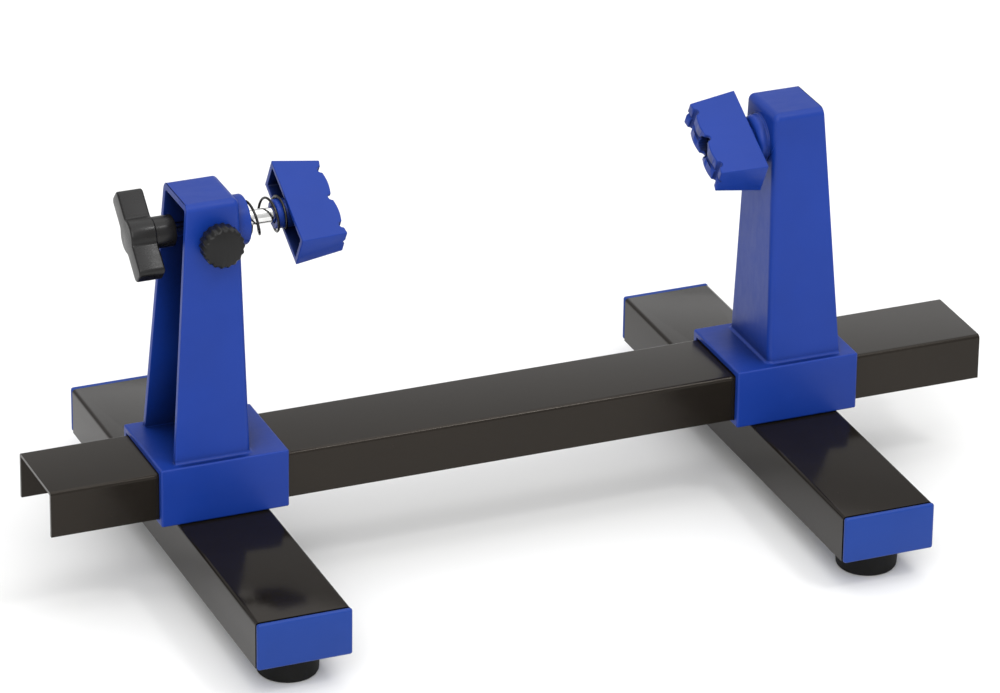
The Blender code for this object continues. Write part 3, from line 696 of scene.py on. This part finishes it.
def collar(reach, rim):
    """Round collar on the jaw side with a small root fillet and a soft rim."""
    root = post_size(AXIS_Z)[1]
    wide = COLLAR_RADIUS + COLLAR_FILLET
    profile = [(wide, root - COLLAR_SINK), (wide, root + COLLAR_LIFT)]
    for across, up in quarter_turn(SMALL_ARC, first=1):
        radius = COLLAR_RADIUS + COLLAR_FILLET * (1 - up)
        profile.append((radius, root + COLLAR_LIFT + COLLAR_FILLET * (1 - across)))
    for across, up in quarter_turn(LARGE_ARC):
        profile.append((COLLAR_RADIUS - rim + rim * across, reach - rim + rim * up))
    return lathe("collar", profile, (0, 0, AXIS_Z), (1, 0, 0))


def add_left_upright():
    """Left moulding with the spindle bearing and the clamp screw boss."""
    item = stand_moulding("left_upright")
    centre = (0, 0, AXIS_Z)
    join(item, collar(LEFT_COLLAR_REACH, LEFT_COLLAR_RIM))
    join(item, rod("bearing", BOSS_RADIUS, (-BOSS_REACH, 0, AXIS_Z), (BOSS_ROOT, 0, AXIS_Z)))
    join(item, rod("side_boss", SIDE_BOSS_RADIUS, (0, -SIDE_BOSS_REACH, AXIS_Z), centre))
    cut(item, rod("bore", SHAFT_RADIUS + GAP, (-CUT_REACH, 0, AXIS_Z), (CUT_REACH, 0, AXIS_Z)))
    insert_low, insert_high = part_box("clamp_insert")
    seat = (insert_high[0] - insert_low[0]) / 2 + GAP
    front = (0, -CUT_REACH, AXIS_Z)
    cut(item, rod("seat", seat, front, (0, insert_high[1] + GAP, AXIS_Z)))
    cut(item, rod("stud_bore", STUD_HOLE, front, centre))
    soften(item, MOULDING_EDGE)
    item.data.transform(Matrix.Translation((LEFT_X, 0, 0)))
    finish_piece(item, BLUE, "left_stand", "left_post")


def add_right_upright():
    """Right moulding, turned half round, with a seat for the jaw boss."""
    item = stand_moulding("right_upright")
    join(item, collar(RIGHT_COLLAR_REACH, RIGHT_COLLAR_RIM))
    seat_floor = RIGHT_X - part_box("right_jaw")[1][0] - 2 * GAP
    jaw_side = (CUT_REACH, 0, AXIS_Z)
    cut(item, rod("seat", JAW_BOSS_RADIUS + GAP, (seat_floor, 0, AXIS_Z), jaw_side))
    cut(item, rod("bore", STUD_HOLE, (0, 0, AXIS_Z), jaw_side))
    soften(item, MOULDING_EDGE)
    item.data.transform(Matrix.Translation((RIGHT_X, 0, 0)) @ Matrix.Rotation(math.pi, 4, "Z"))
    finish_piece(item, BLUE, "right_stand", "right_post")


# ------------------------------------------------------------------ stand base
def add_end_cap(side, word, sign):
    """Blue cap: a plate with rounded corners and the plug behind it."""
    node = f"{side}_{word}_cap"
    low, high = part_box(node)
    face_y = low[1] if sign < 0 else high[1]
    y_low, y_high = sorted((face_y, face_y - sign * CAP_PLATE))
    item = box(node + "_plate", (low[0], y_low, low[2]), (high[0], y_high, high[2]), CAP_EDGE, 4)
    inset = (high[0] - low[0]) / 2 - PLUG_HALF
    plug_y = high[1] if sign < 0 else low[1]
    y_low, y_high = sorted((plug_y, face_y - sign * CAP_PLATE / 2))
    plug_low = (low[0] + inset, y_low, low[2] + PLUG_LIFT)
    plug_high = (high[0] - inset, y_high, high[2] - PLUG_DROP)
    join(item, box("plug", plug_low, plug_high, PLUG_EDGE, 2))
    foot_low, foot_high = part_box(f"{side}_{word}_rubber_foot")
    x = (foot_low[0] + foot_high[0]) / 2
    y = (foot_low[1] + foot_high[1]) / 2
    cut(item, rod("peg_hole", PEG_HOLE, (x, y, 0), (x, y, foot_high[2] + GAP), PEG_HOLE_STEPS))
    smooth(item.data, CAP_SHARP_ANGLE)
    finish_piece(item, CAP_BLUE, side + "_stand", node)


def add_rubber_foot(side, word):
    """Rubber foot with a moulded rib, a rounded tread and a shallow underside ring."""
    node = f"{side}_{word}_rubber_foot"
    low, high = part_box(node)
    x = (low[0] + high[0]) / 2
    y = (low[1] + high[1]) / 2
    rim = (high[0] - low[0]) / 2
    profile = [(radius * MM, height * MM) for radius, height in FOOT_UNDERSIDE]
    profile.append((rim - FOOT_FLAT, 0.0))
    for across, up in quarter_turn(LARGE_ARC, first=1):
        profile.append((rim - FOOT_FLAT + FOOT_ROUND * up, FOOT_ROUND * (1 - across)))
    profile += [(rim - inset * MM, FOOT_TOP - drop * MM) for inset, drop in FOOT_RIB]
    profile += [(PEG_RADIUS, FOOT_TOP), (PEG_RADIUS, high[2] - PEG_LEAD_IN), (PEG_TIP_RADIUS, high[2])]
    item = lathe(node + "_tread", profile, (x, y, 0), (0, 0, 1))
    finish_piece(item, RUBBER, side + "_stand", node)


# ------------------------------------------------------------------------ jaws
def jaw_half(sizes, depth):
    """Half of a jaw size at a depth behind its gripping face."""
    return (sizes[0] + (sizes[1] - sizes[0]) * depth / JAW_DEPTH) / 2


def jaw_outline():
    """Gripping face and sides of a jaw as (depth behind the face, along)."""
    front = jaw_half(JAW_LENGTH, JAW_SHOULDER)
    back = jaw_half(JAW_LENGTH, JAW_DEPTH)
    points = [(JAW_DEPTH, -back), (JAW_SHOULDER, -front)]
    centres = (-NOTCH_PITCH, 0.0, NOTCH_PITCH)
    for centre in centres:
        for step in range(NOTCH_STEPS + 1):
            angle = math.pi * step / NOTCH_STEPS
            deep = SCALLOP_RISE + (NOTCH_DEPTH - SCALLOP_RISE) * math.sin(angle)
            points.append((deep, centre - NOTCH_HALF * math.cos(angle)))
        if centre != centres[-1]:
            start = centre + NOTCH_HALF
            run = NOTCH_PITCH - 2 * NOTCH_HALF
            for step in range(1, SCALLOP_STEPS):
                share = step / SCALLOP_STEPS
                points.append((SCALLOP_RISE * (1 - math.sin(math.pi * share)), start + run * share))
    points += [(JAW_SHOULDER, front), (JAW_DEPTH, back)]
    return points


def jaw_hollow():
    """Tapered space behind the gripping face, with soft corners."""
    shape = bmesh.new()
    bmesh.ops.create_cube(shape, size=1.0)
    for vert in shape.verts:
        depth = JAW_FLOOR if vert.co.x > 0 else 2 * JAW_DEPTH
        length = jaw_half(JAW_LENGTH, depth) - JAW_WALL
        thick = jaw_half(JAW_THICK, depth) - JAW_WALL
        vert.co = (-depth, math.copysign(length, vert.co.y), math.copysign(thick, vert.co.z))
    round_edges(shape, JAW_HOLLOW_EDGE, 3)
    return to_object("hollow", shape)


def jaw_groove():
    """V groove along the middle of the gripping face."""
    side = GROOVE_HALF / math.sqrt(2)
    item = box("groove", (-1, -1, -1), (1, 1, 1))
    item.data.transform(Matrix.Diagonal((side, JAW_LENGTH[1], side, 1)))
    item.data.transform(Matrix.Rotation(math.radians(45), 4, "Y"))
    item.data.transform(Matrix.Translation((-SCALLOP_RISE / 2, 0, 0)))
    return item


def jaw(name, bore):
    """Jaw with its gripping face at X = 0 looking to +X, its length along Y."""
    rings = []
    for side in (-1, 1):
        rings.append([(-deep, along, side * jaw_half(JAW_THICK, deep)) for deep, along in jaw_outline()])
    item = loft(name, rings)
    cut(item, jaw_hollow())
    back = JAW_DEPTH + JAW_BOSS_REACH
    chamfer = JAW_BOSS_RIM * JAW_BOSS_CHAMFER
    profile = [
        (JAW_BOSS_RADIUS, JAW_FLOOR - MM),
        (JAW_BOSS_RADIUS, back - JAW_BOSS_RIM),
        (JAW_BOSS_RADIUS - chamfer, back - chamfer),
        (JAW_BOSS_RADIUS - JAW_BOSS_RIM, back),
    ]
    join(item, lathe("boss", profile, (0, 0, 0), (-1, 0, 0)))
    behind = (-2 * back, 0, 0)
    in_front = (CUT_PAST, 0, 0)
    cut(item, rod("bore", bore, behind, (-JAW_BORE_FLOOR, 0, 0)))
    cut(item, rod("through", SCREW_HOLE, behind, in_front))
    cut(item, rod("recess", HEAD_RECESS, (-HEAD_SEAT, 0, 0), in_front))
    soften(item, JAW_EDGE)
    cut(item, jaw_groove())
    smooth(item.data, SOFT_ANGLE)
    return item


def add_jaws():
    """Both jaws, turned to the tilt of the board that they grip."""
    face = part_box("left_jaw")[1][0]
    item = jaw("left_jaw_shell", SHAFT_RADIUS + GAP)
    item.data.transform(Matrix.Translation((face, 0, AXIS_Z)) @ Matrix.Rotation(LEFT_JAW_TILT, 4, "X"))
    finish_piece(item, BLUE, "spindle", "left_jaw")
    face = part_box("right_jaw")[0][0]
    item = jaw("right_jaw_shell", STUD_HOLE)
    turn = Matrix.Rotation(math.pi, 4, "Z") @ Matrix.Rotation(-RIGHT_JAW_TILT, 4, "X")
    item.data.transform(Matrix.Translation((face, 0, AXIS_Z)) @ turn)
    finish_piece(item, BLUE, "right_jaw", "right_jaw")


# ----------------------------------------------------------------------- knobs
def wing_quarter():
    """Upper right quarter of the wing outline as (along, across), hub to tip."""
    level = WING_HALF_THICK + WING_FILLET
    centre = math.sqrt((BULGE_RADIUS + WING_FILLET) ** 2 - level ** 2)
    lean = math.atan2(level, centre)
    points = []
    for step in range(BULGE_STEPS + 1):
        angle = math.pi / 2 + (lean - math.pi / 2) * step / BULGE_STEPS
        points.append((BULGE_RADIUS * math.cos(angle), BULGE_RADIUS * math.sin(angle)))
    for step in range(1, LARGE_ARC + 1):
        angle = lean + math.pi + (math.pi / 2 - lean) * step / LARGE_ARC
        points.append((centre + WING_FILLET * math.cos(angle), level + WING_FILLET * math.sin(angle)))
    tip = WING_SPAN / 2 - WING_TIP_RADIUS
    shoulder = WING_HALF_THICK - WING_TIP_RADIUS
    for across, up in reversed(list(quarter_turn(LARGE_ARC))):
        points.append((tip + WING_TIP_RADIUS * across, shoulder + WING_TIP_RADIUS * up))
    return points


def inset_outline(outline, inset):
    """A closed clockwise outline with every point moved inwards."""
    moved = []
    for index, point in enumerate(outline):
        after = outline[(index + 1) % len(outline)]
        run = (Vector(after) - Vector(outline[index - 1])).normalized()
        moved.append(Vector(point) + Vector((run.y, -run.x)) * inset)
    return moved


def add_wing_knob():
    """Wing knob: bar with rounded tips, round hub bulge and hub sleeve."""
    quarter = wing_quarter()
    right = quarter + [(along, -across) for along, across in reversed(quarter)]
    left = [(-along, across) for along, across in reversed(right)]
    outline = right + left[1:-1]
    low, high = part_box("wing_knob")
    middle = low[0] + WING_SETBACK + WING_DEPTH / 2
    front = []
    for across, up in quarter_turn(MIDDLE_ARC):
        front.append((middle - WING_DEPTH / 2 + WING_EDGE * (1 - up), WING_EDGE * (1 - across)))
    back = [(2 * middle - place, inset) for place, inset in front]
    rings = []
    for place, inset in front[::-1] + back:
        rings.append([(place, along, across) for along, across in inset_outline(outline, inset)])
    item = loft("wing_knob_body", rings)
    profile = [(HUB_RADIUS, middle), (HUB_RADIUS, high[0] - HUB_RIM)]
    for across, up in quarter_turn(MIDDLE_ARC, first=1):
        profile.append((HUB_RADIUS - HUB_RIM * (1 - across), high[0] - HUB_RIM + HUB_RIM * up))
    join(item, lathe("hub", profile, (0, 0, 0), (1, 0, 0)))
    shaft_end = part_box("spindle_shaft")[0][0]
    cut(item, rod("bore", SHAFT_RADIUS + GAP, (shaft_end - GAP, 0, 0), (0, 0, 0)))
    smooth(item.data, WING_SHARP_ANGLE)
    item.data.transform(Matrix.Translation((0, 0, AXIS_Z)) @ Matrix.Rotation(WING_TILT, 4, "X"))
    finish_piece(item, KNOB_BLACK, "spindle", "wing_knob")


def add_clamp_knob():
    """Fluted clamp knob with a chamfered face and a plain hub behind."""
    low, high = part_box("clamp_knob")
    x = (low[0] + high[0]) / 2
    rim = (high[0] - low[0]) / 2
    stations = [(low[1] + place * MM, inset, strength) for place, inset, strength in KNOB_FRONT]
    stations += [(high[1] - place * MM, inset, strength) for place, inset, strength in KNOB_BACK]
    steps = FLUTES * FLUTE_STEPS
    rings = []
    for y, inset, strength in stations:
        ring = []
        for step in range(steps):
            angle = math.tau * step / steps
            wave = 0.5 - 0.5 * math.cos(FLUTES * angle)
            radius = rim - inset * MM - FLUTE_DEPTH * strength * wave
            ring.append((x + radius * math.cos(angle), y, AXIS_Z + radius * math.sin(angle)))
        rings.append(ring)
    item = loft("clamp_knob_body", rings)
    stud_end = (x, low[1] + STUD_FLOOR, AXIS_Z)
    cut(item, rod("stud", STUD_HOLE, stud_end, (x, high[1] + MM, AXIS_Z)))
    smooth(item.data, KNOB_SHARP_ANGLE)
    finish_piece(item, CLAMP_BLACK, "clamp_handle", "clamp_knob")


# ---------------------------------------------------------------------- spring
def spring_share(turn):
    """Share of the spring's length at a turn, along a smooth curve through SPRING_PATH."""
    index = max(step for step in range(len(SPRING_PATH) - 1) if SPRING_PATH[step][0] <= turn)
    (t1, v1), (t2, v2) = SPRING_PATH[index], SPRING_PATH[index + 1]
    t0, v0 = SPRING_PATH[max(index - 1, 0)]
    t3, v3 = SPRING_PATH[min(index + 2, len(SPRING_PATH) - 1)]
    span = t2 - t1
    slope_in = (v2 - v0) / (t2 - t0) * span
    slope_out = (v3 - v1) / (t3 - t1) * span
    part = (turn - t1) / span
    square = part * part
    cube = square * part
    value = (2 * cube - 3 * square + 1) * v1 + (cube - 2 * square + part) * slope_in
    return value + (3 * square - 2 * cube) * v2 + (cube - square) * slope_out


def spring_curve(start, end):
    """Coil of round wire between two places along X."""
    last = SPRING_PATH[-1][0]
    count = int(last * SPRING_STEPS)
    curve = bpy.data.curves.new("spring_wire", "CURVE")
    curve.dimensions = "3D"
    curve.bevel_depth = SPRING_WIRE
    curve.bevel_resolution = 4
    curve.use_fill_caps = True
    line = curve.splines.new("POLY")
    line.points.add(count)
    for index, point in enumerate(line.points):
        turn = last * index / count
        angle = math.tau * turn
        y = -SPRING_RADIUS * math.cos(angle)
        z = AXIS_Z - SPRING_RADIUS * math.sin(angle)
        point.co = (start + (end - start) * spring_share(turn), y, z, 1)
    return curve


def add_spring():
    """Coil spring between the left collar and the jaw."""
    low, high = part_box("spring")
    curve = spring_curve(low[0] + SPRING_WIRE, high[0] - SPRING_WIRE)
    holder = bpy.data.objects.new("spring_curve", curve)
    bpy.context.scene.collection.objects.link(holder)
    graph = bpy.context.evaluated_depsgraph_get()
    mesh = bpy.data.meshes.new_from_object(holder.evaluated_get(graph))
    bpy.data.objects.remove(holder, do_unlink=True)
    item = bpy.data.objects.new("spring_coil", mesh)
    bpy.context.scene.collection.objects.link(item)
    mesh.materials.clear()
    mesh.materials.append(SPRING_STEEL)
    mesh.shade_smooth()
    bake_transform(item)
    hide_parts("spring")


# ------------------------------------------------------------- small metal bits
def repaint(node, look):
    """Give a CAD node that stays a finished material."""
    item = frame["nodes"][node]
    item.data.materials.clear()
    item.data.materials.append(look)
    smooth(item.data)


def add_metal():
    """Shaft, screws, washer, nut and insert keep their CAD shapes."""
    repaint("spindle_shaft", CHROME)
    repaint("clamp_insert", BRASS)
    names = ["clamp_screw", "left_jaw_screw", "right_pivot_screw", "right_pivot_washer", "right_pivot_nut"]
    for side in ("left", "right"):
        names += [f"{side}_bar_screw_front", f"{side}_bar_screw_rear"]
    for name in names:
        repaint(name, ZINC)


# -------------------------------------------------------------- room and camera
def add_camera():
    """Long lens from above, in front and to the left."""
    data = bpy.data.cameras.new("camera")
    data.sensor_width = CAMERA_SENSOR
    data.lens = CAMERA_LENS
    data.clip_start = CAMERA_CLIP_START
    item = bpy.data.objects.new("camera", data)
    bpy.context.scene.collection.objects.link(item)
    turn = Matrix.Rotation(CAMERA_AZIMUTH, 4, "Z")
    turn = turn @ Matrix.Rotation(math.pi / 2 - CAMERA_ELEVATION, 4, "X")
    turn = turn @ Matrix.Rotation(CAMERA_ROLL, 4, "Z")
    item.matrix_world = Matrix.Translation(CAMERA_PLACE) @ turn
    bpy.context.scene.camera = item


def add_light(name, place, size, power):
    """Square soft light aimed at the object."""
    data = bpy.data.lights.new(name, "AREA")
    data.shape = "SQUARE"
    data.size = size
    data.energy = power
    item = bpy.data.objects.new(name, data)
    bpy.context.scene.collection.objects.link(item)
    item.location = place
    item.rotation_euler = (Vector(LIGHT_TARGET) - Vector(place)).to_track_quat("-Z", "Y").to_euler()


def add_room():
    """Pale floor and a bright even room."""
    bpy.ops.mesh.primitive_plane_add(size=FLOOR_SIZE, location=(0, 0, 0))
    floor = bpy.context.object
    floor.name = "floor"
    floor.data.materials.append(pale_floor())
    world = bpy.data.worlds.new("studio")
    bpy.context.scene.world = world
    world.use_nodes = True
    back = world.node_tree.nodes["Background"]
    back.inputs["Color"].default_value = (1.0, 1.0, 1.0, 1.0)
    back.inputs["Strength"].default_value = ROOM_STRENGTH
    for light in LIGHTS:
        add_light(*light)
    bpy.context.scene.view_settings.view_transform = "Standard"


add_channels()
add_left_upright()
add_right_upright()
for stand in ("left", "right"):
    for word, sign in (("front", -1), ("rear", 1)):
        add_end_cap(stand, word, sign)
        add_rubber_foot(stand, word)
add_jaws()
add_wing_knob()
add_clamp_knob()
add_spring()
add_metal()
add_camera()
add_room()
